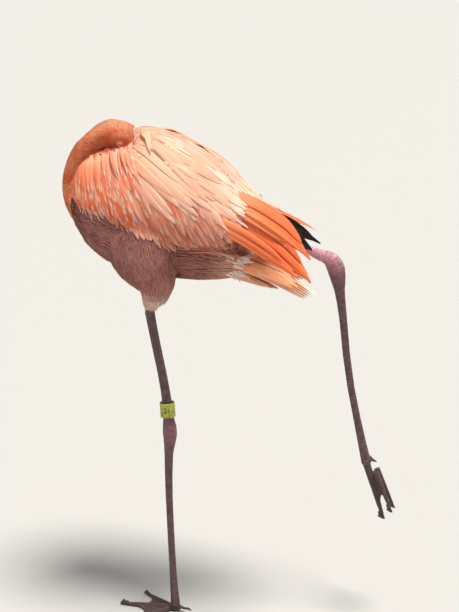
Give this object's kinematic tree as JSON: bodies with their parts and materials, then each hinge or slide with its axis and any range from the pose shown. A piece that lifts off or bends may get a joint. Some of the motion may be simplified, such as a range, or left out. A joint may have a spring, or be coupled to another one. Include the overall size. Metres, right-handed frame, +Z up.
{
  "type": "flamingo",
  "caption": "Life-size American flamingo asleep on one leg, neck laid back with its bill under the shoulder feathers and the other leg stretched out behind.",
  "frame": {"origin": "on the floor, on the sole of the standing left foot under the joint of its toes", "axes": "+Z up; the bird faces -X, so that its breast is towards -X and its tail and stretched leg towards +X; its left side, with the standing leg, is -Y"},
  "size_m": [0.5497, 0.1829, 0.8508],
  "materials": {
    "coral_feathers": "short, dense coral-orange feathers",
    "blush_feathers": "loose rose-pink body feathers",
    "peach_feathers": "pale, sun-bleached wing feathers",
    "flame_feathers": "long orange-red feathers",
    "black_feathers": "black flight feathers",
    "leg_skin": "scaled grey-brown skin",
    "joint_skin": "mauve-pink skin",
    "web_skin": "dark webs between the toes",
    "horn": "dark horn",
    "bill_skin": "pale bill with a black tip",
    "eye": "wet, pale yellow iris",
    "band_plastic": "olive plastic"
  },
  "bodies": {
    "root": {"trunk": "blush_feathers", "neck_base": "coral_feathers", "neck_middle": "coral_feathers", "neck_top": "coral_feathers", "head": "coral_feathers", "eye_left": "eye", "eye_right": "eye", "bill_upper": "bill_skin", "bill_lower": "bill_skin", "wing_left_shoulder": "peach_feathers", "wing_left_scapulars": "peach_feathers", "wing_left_coverts": "peach_feathers", "wing_left_tertials_upper": "flame_feathers", "wing_left_tertials_middle": "flame_feathers", "wing_left_tertials_lower": "flame_feathers", "wing_left_primaries": "black_feathers", "thigh_left": "blush_feathers", "shin_left": "leg_skin", "ankle_left": "joint_skin", "tarsus_left": "leg_skin", "toe_middle_left": "leg_skin", "toe_inner_left": "leg_skin", "web_inner_left": "web_skin", "toe_outer_left": "leg_skin", "web_outer_left": "web_skin", "claw_inner_left": "horn", "claw_middle_left": "horn", "claw_outer_left": "horn", "hallux_left": "leg_skin", "claw_hallux_left": "horn", "wing_right_shoulder": "peach_feathers", "wing_right_scapulars": "peach_feathers", "wing_right_coverts": "peach_feathers", "wing_right_tertials_upper": "flame_feathers", "wing_right_tertials_middle": "flame_feathers", "wing_right_tertials_lower": "flame_feathers", "wing_right_primaries": "black_feathers", "thigh_right": "blush_feathers", "shin_right": "leg_skin", "ankle_right": "joint_skin", "tarsus_right": "leg_skin", "toe_middle_right": "leg_skin", "toe_inner_right": "leg_skin", "web_inner_right": "web_skin", "toe_outer_right": "leg_skin", "web_outer_right": "web_skin", "claw_inner_right": "horn", "claw_middle_right": "horn", "claw_outer_right": "horn", "hallux_right": "leg_skin", "claw_hallux_right": "horn", "tail": "flame_feathers", "leg_band": "band_plastic"}
  },
  "joints": []
}
